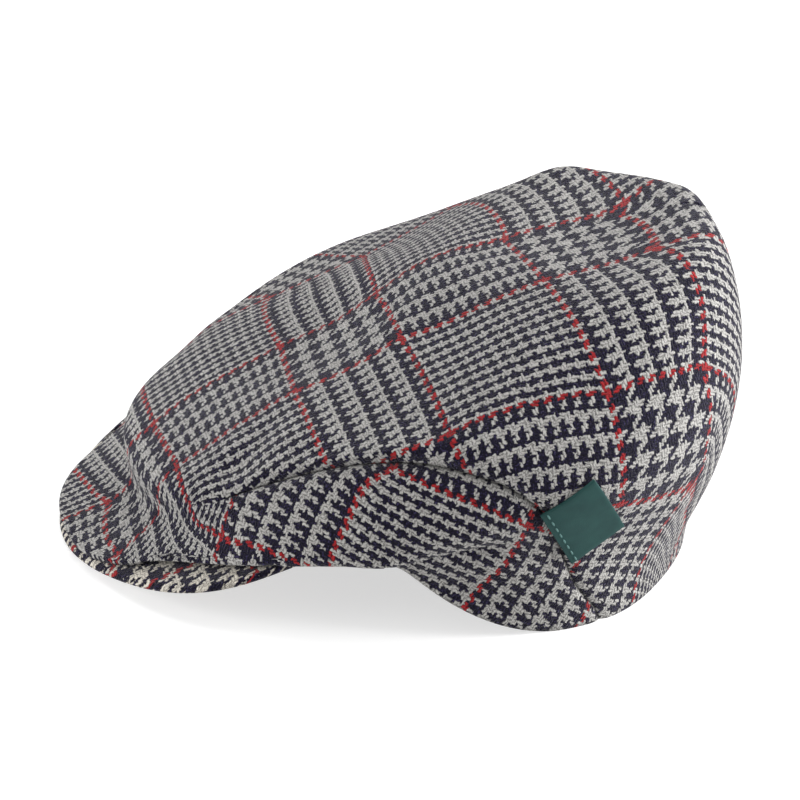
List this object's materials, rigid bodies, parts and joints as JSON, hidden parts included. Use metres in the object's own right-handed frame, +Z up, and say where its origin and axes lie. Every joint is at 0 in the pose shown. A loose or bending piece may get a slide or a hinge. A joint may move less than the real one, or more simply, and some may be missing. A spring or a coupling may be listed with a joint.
{
  "type": "flat cap",
  "caption": "One-piece flat cap in navy, grey and red checked wool, with a dart on each side, a cloth-covered peak and a plain green leather label tab.",
  "frame": {"origin": "middle of the cap's plan, on the surface that it rests on", "axes": "+Z up, -Y towards the front of the peak, +X towards the wearer's left, where the label tab is"},
  "size_m": [0.2075, 0.244, 0.1219],
  "materials": {
    "checked_wool": "brushed wool twill in a navy, off-white and red check",
    "peak_wool": "the same wool check over a stiff board",
    "green_leather": "smooth dark green leather"
  },
  "bodies": {
    "root": {"crown": "checked_wool", "peak": "peak_wool", "label_tab": "green_leather"}
  },
  "joints": []
}
